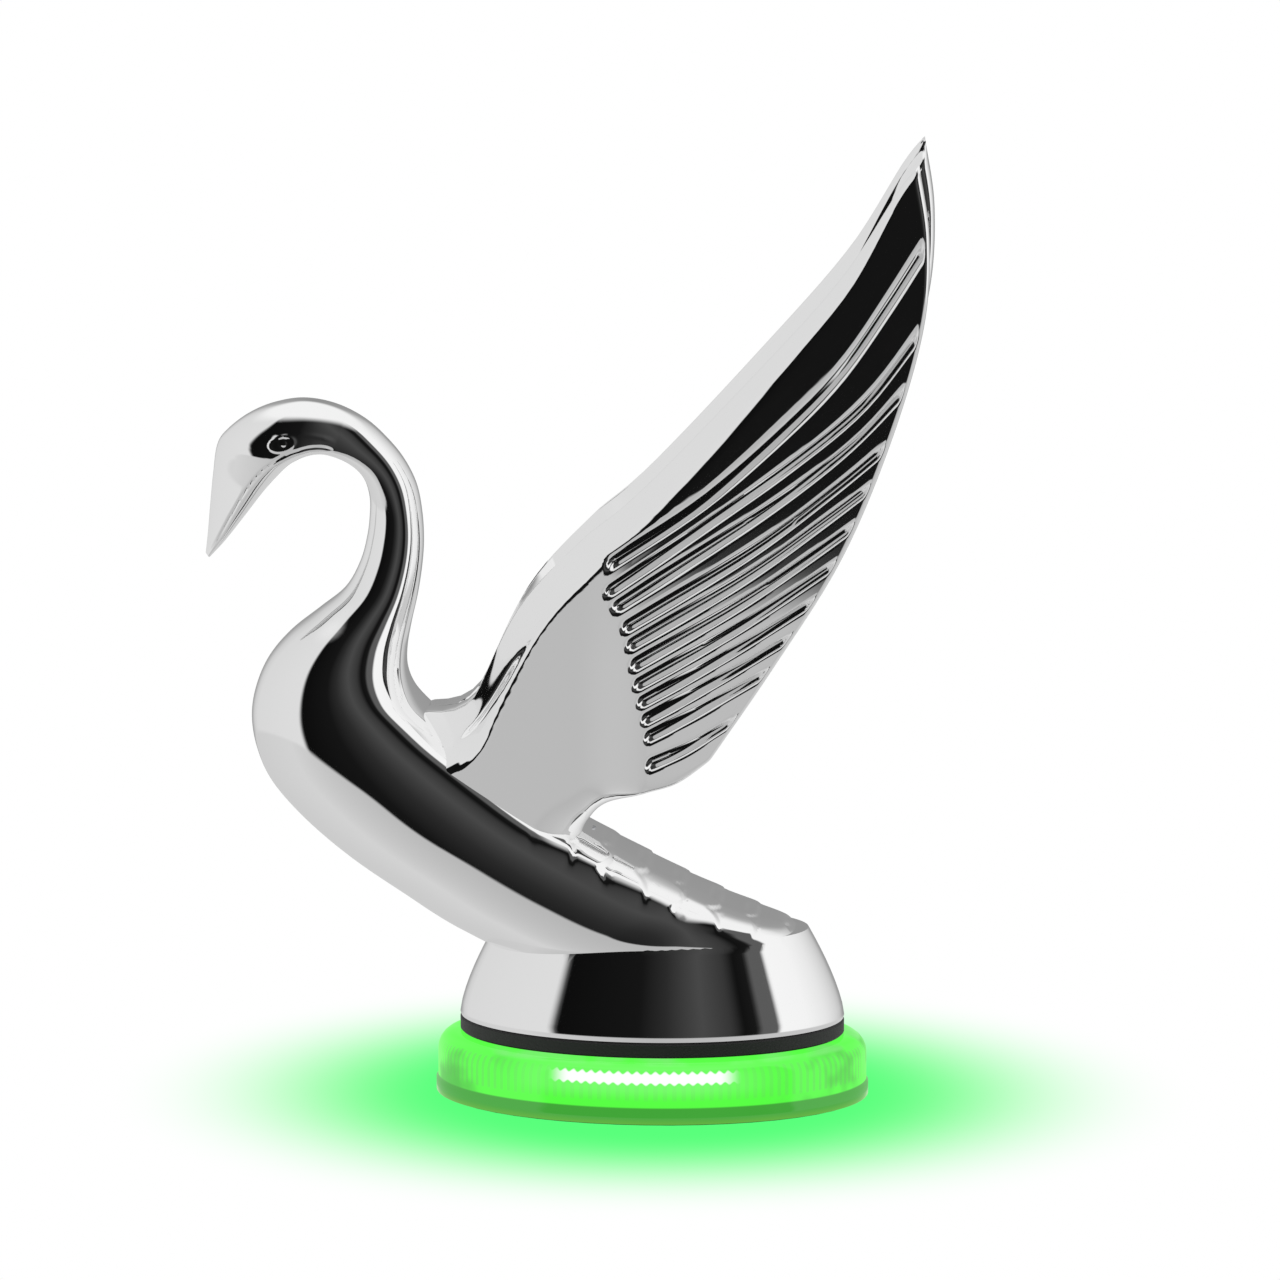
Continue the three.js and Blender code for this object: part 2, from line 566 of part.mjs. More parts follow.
addPart('swan_body', swanBody(), CHROME);
addPart('wing_pair', wingPair(), CHROME);
addPart('wing_screw', wingScrew(), STEEL);
addPart('wing_washer', wingWasher(), STEEL);
addPart('pedestal_gasket', gasket(), RUBBER);
addPart('lens', lens(), GREEN_CLEAR);
addPart('led_board', ledBoard(), BOARD_WHITE);
addPart('base_plate', basePlate(), BLACK_PLASTIC);
addPart('base_pad', basePad(), RUBBER);
addPart('wire_grommet', wireGrommet(), RUBBER);
addPart('insert_front', threadedInsert(STUD_PLACES[0]), BRASS);
addPart('insert_rear', threadedInsert(STUD_PLACES[1]), BRASS);
QUARTERS.forEach((place, i) => addPart(`base_screw_${i + 1}`, baseScrew(place), STEEL));
for (let i = 0; i < LED_COUNT; i += 1) {
  addPart(`led_${String(i + 1).padStart(2, '0')}`, led(i), LED_GREEN);
}
for (let i = 0; i < RESISTOR_COUNT; i += 1) {
  addPart(`resistor_${i + 1}`, resistor(i), CERAMIC);
}
addPart('diode', block(DIODE_SIZE, 0, DIODE_Y, BOARD_TOP + GAP), CERAMIC);
addPart('terminal_pos', block(TERMINAL_SIZE, TERMINAL_X, DIODE_Y, BOARD_TOP + GAP), BRASS);
addPart('terminal_neg', block(TERMINAL_SIZE, -TERMINAL_X, DIODE_Y, BOARD_TOP + GAP), BRASS);

export default group;
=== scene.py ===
"""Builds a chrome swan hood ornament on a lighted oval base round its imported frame."""
import math

import bmesh
import bpy
from bpy.props import FloatProperty, FloatVectorProperty, IntProperty, PointerProperty
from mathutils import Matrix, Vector


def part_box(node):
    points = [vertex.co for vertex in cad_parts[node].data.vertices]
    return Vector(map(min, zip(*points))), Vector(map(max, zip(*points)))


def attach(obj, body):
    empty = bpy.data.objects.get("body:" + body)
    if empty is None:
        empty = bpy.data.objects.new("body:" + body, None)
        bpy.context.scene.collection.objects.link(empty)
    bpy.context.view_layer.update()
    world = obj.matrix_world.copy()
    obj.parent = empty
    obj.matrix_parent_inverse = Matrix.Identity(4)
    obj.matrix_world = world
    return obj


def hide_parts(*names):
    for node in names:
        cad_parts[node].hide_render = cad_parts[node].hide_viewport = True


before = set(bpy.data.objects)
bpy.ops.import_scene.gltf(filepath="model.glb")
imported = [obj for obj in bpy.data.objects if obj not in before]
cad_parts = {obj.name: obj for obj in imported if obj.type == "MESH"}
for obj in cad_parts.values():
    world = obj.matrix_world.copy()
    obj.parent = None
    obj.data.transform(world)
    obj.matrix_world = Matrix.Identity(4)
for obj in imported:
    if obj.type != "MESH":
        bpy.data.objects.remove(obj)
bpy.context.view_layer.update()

bl_info = {
    "name": "Swan Hood Ornament",
    "version": (1, 0, 0),
    "blender": (4, 5, 0),
    "location": "View3D > Sidebar > Ornament",
    "description": "Builds a chrome swan hood ornament and its lighted base around a packed frame",
    "category": "Add Mesh",
}

MM = 0.001
MERGE = 0.01 * MM                 # vertices nearer than this are one
CLOSE_MERGE = 0.001 * MM


# ---------- places taken from the frame ----------
def top_of(node):
    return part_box(node)[1].z / MM


def foot_of(node):
    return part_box(node)[0].z / MM


def reach_of(node):
    low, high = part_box(node)
    return (high.x - low.x) / 2 / MM, (high.y - low.y) / 2 / MM


LENS_TOP = top_of("lens")
LENS_FOOT = foot_of("lens")
GASKET_FOOT = foot_of("pedestal_gasket")
GASKET_TOP = top_of("pedestal_gasket")
LIP = 0.25                        # the lens's lip reaches down round the pad to this height
TOUCH = 0.02                      # what is left of the frame's clearance where pieces meet
FRAME_GAP = GASKET_FOOT - LENS_TOP
PEDESTAL_FOOT = GASKET_TOP + FRAME_GAP
PEDESTAL_RISE = 14.4
PEDESTAL_TOP = PEDESTAL_FOOT + PEDESTAL_RISE


# ---------- the bird's outline, in millimetres along and above the pedestal's top ----------
# Outer edge, inner edge and half width, from the beak's tip over the crown, down the neck and
# the breast, and back along the body to the tail.
SECTIONS = (
    ((-69.0, 57.9), (-68.4, 57.2), 0.5),
    ((-68.6, 61.3), (-66.0, 59.8), 1.6),
    ((-68.2, 65.5), (-63.0, 63.6), 2.7),
    ((-67.7, 70.2), (-60.0, 67.5), 3.7),
    ((-67.0, 74.8), (-57.5, 70.3), 4.7),
    ((-65.4, 77.2), (-55.9, 71.8), 5.2),
    ((-62.0, 79.8), (-54.4, 72.7), 5.4),
    ((-58.0, 81.5), (-53.0, 73.3), 5.5),
    ((-53.4, 82.2), (-51.5, 73.6), 5.3),
    ((-48.5, 81.3), (-49.8, 73.5), 5.0),
    ((-44.0, 79.0), (-47.6, 72.7), 4.7),
    ((-40.5, 75.8), (-45.6, 71.4), 4.4),
    ((-38.0, 72.6), (-44.2, 69.6), 4.2),
    ((-36.2, 68.8), (-43.5, 67.0), 4.2),
    ((-35.4, 64.4), (-43.5, 64.3), 4.2),
    ((-35.2, 60.2), (-43.9, 61.0), 4.3),
    ((-35.5, 56.2), (-45.0, 57.0), 4.7),
    ((-36.2, 51.8), (-47.3, 52.9), 5.6),
    ((-37.2, 47.4), (-51.3, 49.6), 7.0),
    ((-37.9, 43.4), (-55.8, 46.0), 8.8),
    ((-37.9, 40.0), (-59.2, 42.0), 10.3),
    ((-36.8, 36.8), (-61.2, 37.6), 11.6),
    ((-34.5, 33.9), (-62.0, 33.0), 12.6),
    ((-31.0, 30.7), (-61.3, 28.0), 13.2),
    ((-26.5, 27.2), (-59.0, 22.7), 13.6),
    ((-21.5, 23.4), (-54.0, 16.9), 13.8),
    ((-16.0, 19.4), (-47.0, 10.9), 13.9),
    ((-9.6, 15.4), (-39.0, 5.4), 13.8),
    ((-2.0, 11.2), (-30.0, -0.3), 13.6),
    ((5.0, 7.5), (-18.0, -5.5), 13.3),
    ((11.0, 4.6), (-4.0, -6.6), 12.9),
    ((16.0, 2.6), (8.0, -6.6), 11.2),
    ((20.5, 1.0), (17.0, -6.6), 8.4),
    ((23.2, -0.6), (21.5, -6.6), 4.8),
)

# The wing's feather lines from the leading edge (0) to the bottom edge (1): where each stands in
# that order, its points over the shoulder, and its points out to the trailing edge. Points are
# x and height above the hood.
FEATHER_LINES = (
    (0.0,
     ((-38.0, 59.6), (-34.5, 60.9), (-30.6, 61.2), (-27.2, 63.4), (-25.2, 67.4), (-22.7, 73.0),
      (-19.6, 78.6), (-15.4, 83.8), (-9.0, 90.2)),
     ((-9.0, 90.2), (-0.9, 97.1), (15.1, 114.1), (29.2, 130.2), (37.5, 143.4), (40.9, 147.7))),
    (1 / 12,
     ((-35.6, 55.2), (-31.0, 57.6), (-26.4, 60.8), (-23.0, 66.0), (-19.0, 73.4), (-13.4, 80.0),
      (-6.3, 85.6)),
     ((-6.3, 85.6), (8.8, 96.0), (21.3, 107.4), (29.6, 116.4), (36.6, 126.8), (42.5, 136.4))),
    (2 / 12,
     ((-34.2, 52.0), (-28.8, 56.4), (-22.6, 64.6), (-15.0, 73.6), (-6.5, 81.4)),
     ((-6.5, 81.4), (8.8, 92.3), (22.8, 102.6), (33.4, 111.9), (41.7, 123.0))),
    (4 / 12,
     ((-30.6, 49.2), (-25.4, 54.2), (-18.2, 63.6), (-3.9, 75.9)),
     ((-3.9, 75.9), (16.0, 88.6), (28.6, 98.4), (36.9, 105.6))),
    (7 / 12,
     ((-22.6, 45.2), (-18.6, 50.8), (-12.4, 58.6), (-2.2, 67.0)),
     ((-2.2, 67.0), (15.0, 77.4), (29.6, 87.6))),
    (10 / 12,
     ((-15.0, 42.6), (-12.4, 47.2), (-7.8, 53.0), (-0.6, 58.8)),
     ((-0.6, 58.8), (9.0, 64.2), (19.4, 70.6))),
    (1.0,
     ((-11.0, 40.6), (-9.7, 44.4), (-6.6, 47.8), (-0.4, 50.0)),
     ((-0.4, 50.0), (4.6, 51.8), (9.6, 55.6))),
)

# How the wing's edges drop away, from the root to the tip: share of the way out, width of the
# bevel or the roll and its depth, in millimetres. The trailing roll is the same all along.
LEADING_EDGE = (
    (0.0, 9.0, 7.4), (0.12, 6.6, 5.4), (0.3, 5.0, 4.0), (0.5, 4.0, 3.0), (0.8, 2.6, 1.8),
    (1.0, 0.9, 0.6),
)
BOTTOM_ROLL = ((0.0, 8.0, 6.5), (0.15, 5.0, 4.0), (0.36, 2.6, 1.2), (1.0, 1.6, 0.8))
INNER_BEVEL = ((0.0, 3.6, 2.7), (0.74, 3.6, 2.7), (0.95, 1.1, 0.7), (1.0, 1.1, 0.7))
TRAILING_ROLL = (1.3, 0.9)


# ---------- mesh helpers ----------
def spline(points, share):
    """A point at a share of the way along a smooth line through the points."""
    last = len(points) - 1
    place = min(max(share, 0.0), 1.0) * last
    index = min(int(place), last - 1)
    t = place - index
    before = points[index - 1] if index else points[0] * 2 - points[1]
    after = points[index + 2] if index + 2 <= last else points[last] * 2 - points[last - 1]
    start, end = points[index], points[index + 1]
    return 0.5 * (
        start * 2
        + (end - before) * t
        + (before * 2 - start * 5 + end * 4 - after) * t * t
        + (start * 3 - before - end * 3 + after) * t * t * t
    )


def even_spline(points, share, steps=24):
    """As spline, with the share measured along the line's length."""
    samples = [spline(points, i / steps) for i in range(steps + 1)]
    lengths = [0.0]
    for a, b in zip(samples, samples[1:]):
        lengths.append(lengths[-1] + (b - a).length)
    wanted = share * lengths[-1]
    for i in range(steps):
        if wanted <= lengths[i + 1] or i == steps - 1:
            span = max(lengths[i + 1] - lengths[i], 1e-9)
            return samples[i].lerp(samples[i + 1], (wanted - lengths[i]) / span)
    return samples[-1]


def smooth_step(low, high, value):
    t = min(max((value - low) / (high - low), 0.0), 1.0)
    return t * t * (3 - 2 * t)


def steps_through(*stretches):
    """Values spaced evenly within each stretch: its start, its end and how many steps it has."""
    steps = [a + (b - a) * i / count for a, b, count in stretches for i in range(count)]
    return steps + [stretches[-1][1]]


def add_ring(bm, places):
    ring = bmesh.ops.create_circle(bm, segments=len(places), radius=1.0)["verts"]
    for vert, place in zip(ring, places):
        vert.co = Vector(place) * MM
    return ring


def ring_edges(ring):
    count = len(ring)
    found = []
    for i in range(count):
        shared = set(ring[i].link_edges) & set(ring[(i + 1) % count].link_edges)
        found.extend(shared)
    return found


def loft(bm, rows, capped=False):
    """Bridges closed rows of places into one skin, with its two ends capped if asked."""
    rings = [add_ring(bm, row) for row in rows]
    for ring, following in zip(rings, rings[1:]):
        bmesh.ops.bridge_loops(bm, edges=ring_edges(ring) + ring_edges(following))
    if capped:
        bmesh.ops.contextual_create(bm, geom=ring_edges(rings[0]))
        bmesh.ops.contextual_create(bm, geom=ring_edges(rings[-1]))
    bmesh.ops.recalc_face_normals(bm, faces=bm.faces)


def extrude_ring(bm, ring, places):
    """Extrudes a ring of vertices and moves the new ones to their own places."""
    fresh = set(bmesh.ops.extrude_edge_only(bm, edges=ring_edges(ring))["geom"])
    following = []
    for vert, place in zip(ring, places):
        ends = [edge.other_vert(vert) for edge in vert.link_edges]
        opposite = next(end for end in ends if end in fresh)
        opposite.co = Vector(place) * MM
        following.append(opposite)
    return following


def loft_round(bm, rows):
    """Skin through closed rows of places, from the first row round to the first again.

    The rows are extruded, because bridging leaves the skin of a closed outline twisted.
    """
    ring = add_ring(bm, rows[0])
    for row in rows[1:] + rows[:1]:
        ring = extrude_ring(bm, ring, row)
    bmesh.ops.remove_doubles(bm, verts=bm.verts, dist=CLOSE_MERGE)
    bmesh.ops.recalc_face_normals(bm, faces=bm.faces)


def oval_row(reach, height, difference, sides):
    """Places round an oval whose half width is its half length less a fixed difference."""
    width = max(reach - difference, 0.0)
    turns = [math.tau * i / sides for i in range(sides)]
    return [(reach * math.cos(turn), width * math.sin(turn), height) for turn in turns]


def new_object(name, bm):
    mesh = bpy.data.meshes.new(name)
    bm.to_mesh(mesh)
    bm.free()
    piece = bpy.data.objects.new(name, mesh)
    bpy.context.scene.collection.objects.link(piece)
    return piece


def apply_modifiers(piece):
    """Gives a piece its evaluated mesh, so that no modifier stays live on it."""
    depsgraph = bpy.context.evaluated_depsgraph_get()
    shaped = bpy.data.meshes.new_from_object(piece.evaluated_get(depsgraph))
    piece.modifiers.clear()
    piece.data = shaped


def smooth_shading(piece, sharp_angle):
    piece.data.polygons.foreach_set("use_smooth", [True] * len(piece.data.polygons))
    piece.data.set_sharp_from_angle(angle=math.radians(sharp_angle))


def finish_piece(piece, material, slot, *nodes):
    """Gives a piece its material, hangs it under the root and hides the frame's nodes that it
    replaces.
    """
    piece.data.materials.clear()
    piece.data.materials.append(material)
    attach(piece, "root")
    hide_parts(*nodes)
    return piece


# ---------- shader helpers ----------
class Value:
    """A shader socket that can be used in sums."""

    def __init__(self, tree, socket):
        self.tree = tree
        self.socket = socket

    def math(self, operation, *others):
        return self.tree.add("ShaderNodeMath", {"operation": operation}, self, *others)

    def __add__(self, other):
        return self.math("ADD", other)

    def __sub__(self, other):
        return self.math("SUBTRACT", other)

    def __mul__(self, other):
        return self.math("MULTIPLY", other)

    def __truediv__(self, other):
        return self.math("DIVIDE", other)

    def __rsub__(self, other):
        return self.tree.add("ShaderNodeMath", {"operation": "SUBTRACT"}, other, self)

    __radd__ = __add__
    __rmul__ = __mul__


class Tree:
    """A node tree whose nodes are added by one call each."""

    def __init__(self, owner):
        owner.use_nodes = True
        self.nodes = owner.node_tree.nodes
        self.links = owner.node_tree.links
        self.nodes.clear()

    def add(self, kind, settings=None, *values, output=0, **named):
        node = self.nodes.new(kind)
        for name, setting in (settings or {}).items():
            if name == "stops":
                self.set_stops(node.color_ramp, setting)
            else:
                setattr(node, name, setting)
        for key, value in [*enumerate(values), *named.items()]:
            target = node.inputs[key.replace("_", " ") if isinstance(key, str) else key]
            if isinstance(value, Value):
                self.links.new(value.socket, target)
            else:
                target.default_value = value
        return Value(self, node.outputs[output])

    def split(self, vector):
        node = self.add("ShaderNodeSeparateXYZ", None, vector).socket.node
        return [Value(self, socket) for socket in node.outputs]

    def mix(self, share, low, high):
        """A colour part of the way from one colour to another."""
        node = self.nodes.new("ShaderNodeMix")
        node.data_type = "RGBA"
        for socket, value in ((node.inputs[0], share), (node.inputs[6], low), (node.inputs[7], high)):
            if isinstance(value, Value):
                self.links.new(value.socket, socket)
            else:
                socket.default_value = value
        return Value(self, node.outputs[2])

    @staticmethod
    def set_stops(ramp, stops):
        while len(ramp.elements) > 1:
            ramp.elements.remove(ramp.elements[-1])
        ramp.elements[0].position, ramp.elements[0].color = stops[0]
        for position, color in stops[1:]:
            ramp.elements.new(position).color = color

    def object_place(self):
        return self.add("ShaderNodeTexCoord", None, output=3)

    def noise(self, scale, detail=2.0):
        place = self.object_place()
        return self.add("ShaderNodeTexNoise", None, Vector=place, Scale=scale, Detail=detail)

    def step(self, value, low, high, curve="SMOOTHSTEP"):
        """Rises from 0 to 1 while the value goes from low to high."""
        return self.add("ShaderNodeMapRange", {"interpolation_type": curve}, value, low, high)

    def bump(self, height, strength, distance):
        return self.add("ShaderNodeBump", None, Strength=strength, Distance=distance, Height=height)

    def surface(self, **sockets):
        """Ends a material in a principled shader with these sockets."""
        shader = self.add("ShaderNodeBsdfPrincipled", None, **sockets)
        self.out("ShaderNodeOutputMaterial", shader)

    def out(self, kind, shader):
        node = self.nodes.new(kind)
        self.links.new(shader.socket, node.inputs[0])


CHROME_ROUGHNESS = 0.02
CHROME_HAZE = 0.03
RUBBER_ROUGHNESS = 0.45
ACRYLIC_IOR = 1.49
# Painted glow of the lens's underside, lighter than the foot above it.
UNDERSIDE_GLOW = (0.13, 0.42, 0.03, 1.0)
# The lit lens's painted glow: where each change of its painted light and shade starts and where it
# is complete, in millimetres above the hood or along from the lens's middle.
# Painted shade, in patches, towards the lens's two ends, from the first distance to the second.
LENS_ENDS = (17.0, 30.0)
# The ribs' painted stripes of light and shade lie between these heights.
RIBS_START = (3.7, 4.2)
RIBS_END = (9.0, 8.5)
# A paler painted highlight, in patches, on the top ledge above this.
LEDGE = (8.9, 9.4)
# The painted glow is darker below this band, with a lighter painted line along the underside.
LENS_FOOT_BAND = (2.95, 2.65)
LENS_UNDERSIDE = (1.5, 0.1)
# A painted highlight band near the middle of the front and back, at this height.
HIGHLIGHT_BAND_HEIGHT = 7.4
HIGHLIGHT_BAND_ENDS = (15.0, 11.5)
HALO_HEIGHT = 6.8
HALO_RISE = (3.2, 0.6)
HALO_ENDS = (24.0, 8.0)


def new_material(name):
    material = bpy.data.materials.new(name)
    return material, Tree(material)


def grey(level):
    return (level, level, level, 1.0)


def chrome_material(name, tint):
    """Mirror plate over a polished casting: faint ripples and a little haze that varies."""
    material, tree = new_material(name)
    haze = tree.noise(scale=90.0, detail=3.0)
    ripple = tree.noise(scale=55.0, detail=1.0)
    tree.surface(
        Base_Color=(*tint, 1.0),
        Metallic=1.0,
        Roughness=haze * CHROME_HAZE + CHROME_ROUGHNESS,
        Normal=tree.bump(ripple, strength=0.035, distance=0.4 * MM),
    )
    return material


def rubber_material(name, color):
    material, tree = new_material(name)
    grain = tree.noise(scale=2500.0)
    tree.surface(
        Base_Color=(*color, 1.0),
        Roughness=grain * 0.2 + RUBBER_ROUGHNESS,
        Normal=tree.bump(grain, strength=0.25, distance=0.2 * MM),
    )
    return material


def lens_material(name, color, reach, width, ribs):
    """Lit clear plastic whose glow is painted in as emission: painted light and shade on the moulded
    ribs, a bright painted highlight band before the lamps, painted shade at the ends, a paler painted
    ledge and a darker foot.
    """
    material, tree = new_material(name)
    x, y, z = tree.split(tree.object_place())
    x, y, height = x / MM, y / MM, z / MM
    along = x.math("ABSOLUTE")
    cloud = tree.noise(scale=140.0)
    step, mix = tree.step, tree.mix

    def shade(level, white=0.0):
        return (*[min(c * level + white, 1.0) for c in color], 1.0)

    turn = (y / width).math("ARCTAN2", x / reach)
    wave = (turn * ribs).math("SINE") * 0.5 + 0.5
    # Painted shade in patches towards the lens's two ends.
    ends = step(along, *LENS_ENDS)
    # Painted light and shade in upright stripes, one pair for each moulded rib, twice as strong at the
    # ends.
    in_ribs = step(height, *RIBS_START) * step(height, *RIBS_END)
    rib = in_ribs * step(wave, 0.35, 0.75) * (ends * 0.5 + 0.5)
    # A paler painted highlight in patches on the top ledge.
    ledge = step(height, *LEDGE) * step(cloud, 0.40, 0.66)
    # The painted glow is darker at the foot.
    foot = step(height, *LENS_FOOT_BAND)
    # A white painted highlight band, held in lamps, near the middle of the front and back; the ribs
    # scallop its edge.
    half_band = wave * 0.45 + 0.75
    from_highlight_band = (height - HIGHLIGHT_BAND_HEIGHT).math("ABSOLUTE")
    lamps = step(from_highlight_band, half_band, half_band * 0.7) * step(along, *HIGHLIGHT_BAND_ENDS)
    from_halo = (height - HALO_HEIGHT).math("ABSOLUTE")
    halo = step(from_halo, *HALO_RISE) * step(along, *HALO_ENDS)

    # The painted glow, built up mark by mark.
    painted_glow = mix(rib, shade(0.98), shade(0.74, 0.045))
    painted_glow = mix(ends * step(cloud, 0.42, 0.68) * 0.85, painted_glow, shade(0.42, 0.03))
    painted_glow = mix(ledge * 0.8, painted_glow, shade(0.72, 0.13))
    painted_glow = mix(foot, painted_glow, shade(0.34, 0.02))
    painted_glow = mix(foot * step(height, *LENS_UNDERSIDE) * 0.7, painted_glow, UNDERSIDE_GLOW)
    painted_glow = mix(halo * 0.42, painted_glow, shade(0.9, 0.22))
    painted_glow = mix(lamps, painted_glow, grey(1.0))
    # The lens glows by this painted emission, though it is no lamp; its base colour is near black.
    tree.surface(
        Base_Color=(*[c * 0.03 for c in color], 1.0),
        Roughness=cloud * 0.06 + 0.04,
        IOR=ACRYLIC_IOR,
        Emission_Color=painted_glow,
        Emission_Strength=1.0,
    )
    return material


def plain_material(name, color, roughness, metallic=0.0, glow=0.0):
    """Small moulded, plated or printed pieces: an even colour with fine grain."""
    material, tree = new_material(name)
    grain = tree.noise(scale=900.0)
    dark = (*[c * 0.85 for c in color], 1.0)
    stops = [(0.3, dark), (0.7, (*color, 1.0))]
    tree.surface(
        Base_Color=tree.add("ShaderNodeValToRGB", {"stops": stops}, grain),
        Roughness=grain * 0.15 + roughness,
        Metallic=metallic,
        Normal=tree.bump(grain, strength=0.1, distance=0.1 * MM),
        Emission_Color=(*color, 1.0),
        Emission_Strength=glow,
    )
    return material


# ---------- the bird's body ----------
# Places along the bird are counted in sections, from 0 at the beak's tip. Each stretch has its own
# step between the rows of the skin, small where there is relief.
ROW_STEPS = ((0.0, 10.0, 0.05), (10.0, 19.0, 0.18), (19.0, 26.0, 0.14), (26.0, 33.0, 0.06))
# Where a section is widest, from 1 at its outer edge to -1 at its inner: the mouth follows it.
WIDEST_LINE = (
    (0.0, -0.38), (2.0, -0.38), (3.0, -0.45), (4.0, -0.56), (5.0, -0.64), (7.0, -0.68),
    (9.4, -0.60), (11.5, -0.35), (14.0, 0.0), (33.0, 0.0),
)
BILL_END = (2.4, 5.2)            # the flat-sided bill fades into the round head
BILL_FLATNESS = 0.5              # 1 would make the bill's sides quite flat
THROAT_WIDTH = 0.9               # of the round shape, below the bill's widest line
FLANK_START = (17.5, 22.5)       # the round neck fades into the full-flanked body
BACK_FULLNESS = 0.5              # 0 would leave the flank elliptical
BELLY_FULLNESS = 0.12
MOUTH_START = (0.0, 1.5)
MOUTH_END = (8.9, 9.5)
MOUTH_DEPTH = 0.26
MOUTH_WIDTH = 0.3
# The eye and the brow, in millimetres along and above the pedestal's top.
EYE = (-56.4, 75.8)
EYE_TILT = math.radians(16.0)
EYE_ROWS = (4.5, 9.8)            # sections between which the relief of the eye is looked for
EYE_SIDE = 0.3                   # share of the half width past which it is cut
LIDS = (1.9, 1.05)
LID_RISE = 0.13
LID_WIDTH = 0.17
EYEBALL = 0.9                    # size of the ball within the lids
EYEBALL_RISE = 0.10
PUPIL_RADIUS = 0.62
PUPIL_PLACE = 0.3
PUPIL_CUT = 0.07
PUPIL_EDGE = 0.3
BROW = (-54.0, 77.25)
BROW_CURVE = 0.03
BROW_START = (-58.5, -57.0)
BROW_END = (-50.0, -48.0)
BROW_RISE = 0.10
BROW_WIDTH = 0.32
# Feathers on the back behind the wings, in millimetres and in sections.
TAIL_PITCH = 5.6
TAIL_FEATHER_WIDTH = 5.4
TAIL_ROUNDING = 1.8
TAIL_RISE = 0.34
TAIL_LIP = (0.90, 0.99)
TAIL_START = (26.2, 27.0)
TAIL_END = (32.0, 32.6)
TAIL_TOP = (0.55, 0.85)          # the feathers fade out down the sides
PEDESTAL_INSET = 5.6             # its top is set in from its foot by this
PEDESTAL_CURVE = 1.4             # 1 would make its side straight
PEDESTAL_STEPS = 8
PEDESTAL_EDGE = 0.5
PEDESTAL_EDGE_MIDDLE = 0.12
SHARP_ANGLE = 40                 # degrees between faces past which an edge stays sharp
WING_SHARP_ANGLE = 75


def line_through(stops, place):
    """Height at a place of a line with straight stretches between the stops."""
    for (start, low), (end, high) in zip(stops, stops[1:]):
        if place <= end:
            return low + (high - low) * max(place - start, 0.0) / (end - start)
    return stops[-1][1]


def section_at(place):
    """Outer x, z, inner x, z and half width of the bird at a place along it."""
    knots = [Vector((*outer, *inner, width)) for outer, inner, width in SECTIONS]
    return spline(knots, place / (len(knots) - 1))


def hump(distance, width):
    return math.exp(-((distance / width) ** 2))


def eye_relief(x, height):
    """Raised lids round a domed eyeball, and a brow line."""
    right, up = x - EYE[0], height - EYE[1]
    u = right * math.cos(EYE_TILT) + up * math.sin(EYE_TILT)
    v = up * math.cos(EYE_TILT) - right * math.sin(EYE_TILT)
    lids = math.hypot(u / LIDS[0], v / LIDS[1])
    relief = LID_RISE * hump(lids - 1.0, LID_WIDTH)
    if lids < EYEBALL:
        pupil = math.hypot(u - PUPIL_PLACE, v) / PUPIL_RADIUS
        relief += EYEBALL_RISE * (1 - (lids / EYEBALL) ** 2)
        relief -= PUPIL_CUT * hump(pupil - 1.0, PUPIL_EDGE)
    from_brow = height - (BROW[1] - BROW_CURVE * (x - BROW[0]) ** 2)
    ends = smooth_step(*BROW_START, x) * (1 - smooth_step(*BROW_END, x))
    return relief + ends * BROW_RISE * hump(from_brow, BROW_WIDTH)


def tail_relief(x, y):
    """Rows of overlapping feathers whose rounded ends point to the tail."""
    row = math.floor(x / TAIL_PITCH)
    lane = abs(y) / TAIL_FEATHER_WIDTH + 0.5 * (row % 2)
    rounding = TAIL_ROUNDING * (2 * (lane - math.floor(lane)) - 1) ** 2
    place = (x + rounding) / TAIL_PITCH
    rise = place - math.floor(place)
    return TAIL_RISE * rise * (1 - smooth_step(*TAIL_LIP, rise))


def body_row(place, sides):
    """Places round the bird at one place along it."""
    outer_x, outer_z, inner_x, inner_z, half_width = section_at(place)
    middle = Vector(((outer_x + inner_x) / 2, 0, (outer_z + inner_z) / 2))
    across = Vector((outer_x - inner_x, 0, outer_z - inner_z))
    reach = across.length / 2
    across.normalize()
    bill = 1 - smooth_step(*BILL_END, place)
    flank = smooth_step(*FLANK_START, place)
    widest = line_through(WIDEST_LINE, place)
    mouth = smooth_step(*MOUTH_START, place) * (1 - smooth_step(*MOUTH_END, place))
    tail = smooth_step(*TAIL_START, place) * (1 - smooth_step(*TAIL_END, place))
    has_eye = EYE_ROWS[0] < place < EYE_ROWS[1]
    row = []
    for i in range(sides):
        turn = math.tau * i / sides
        outward = math.cos(turn)
        if outward > widest:
            rise = (outward - widest) / (1 - widest)
        else:
            rise = (widest - outward) / (1 + widest)
        fullness = 1 - flank * (BACK_FULLNESS if outward > 0 else BELLY_FULLNESS)
        width = max(1 - rise * rise, 0.0) ** (fullness / 2)
        kite = 1 - rise if outward > widest else THROAT_WIDTH * width
        width += bill * BILL_FLATNESS * (kite - width)
        where = middle + across * outward * reach
        where.y = math.copysign(width * half_width, math.sin(turn))
        relief = -MOUTH_DEPTH * mouth * hump((outward - widest) * reach, MOUTH_WIDTH)
        if has_eye and width > EYE_SIDE:
            relief += eye_relief(where.x, where.z)
        if tail and outward > 0:
            relief += tail_relief(where.x, where.y) * tail * smooth_step(*TAIL_TOP, outward)
        where += (where - middle).normalized() * relief
        where.z += PEDESTAL_TOP
        row.append(where)
    return row


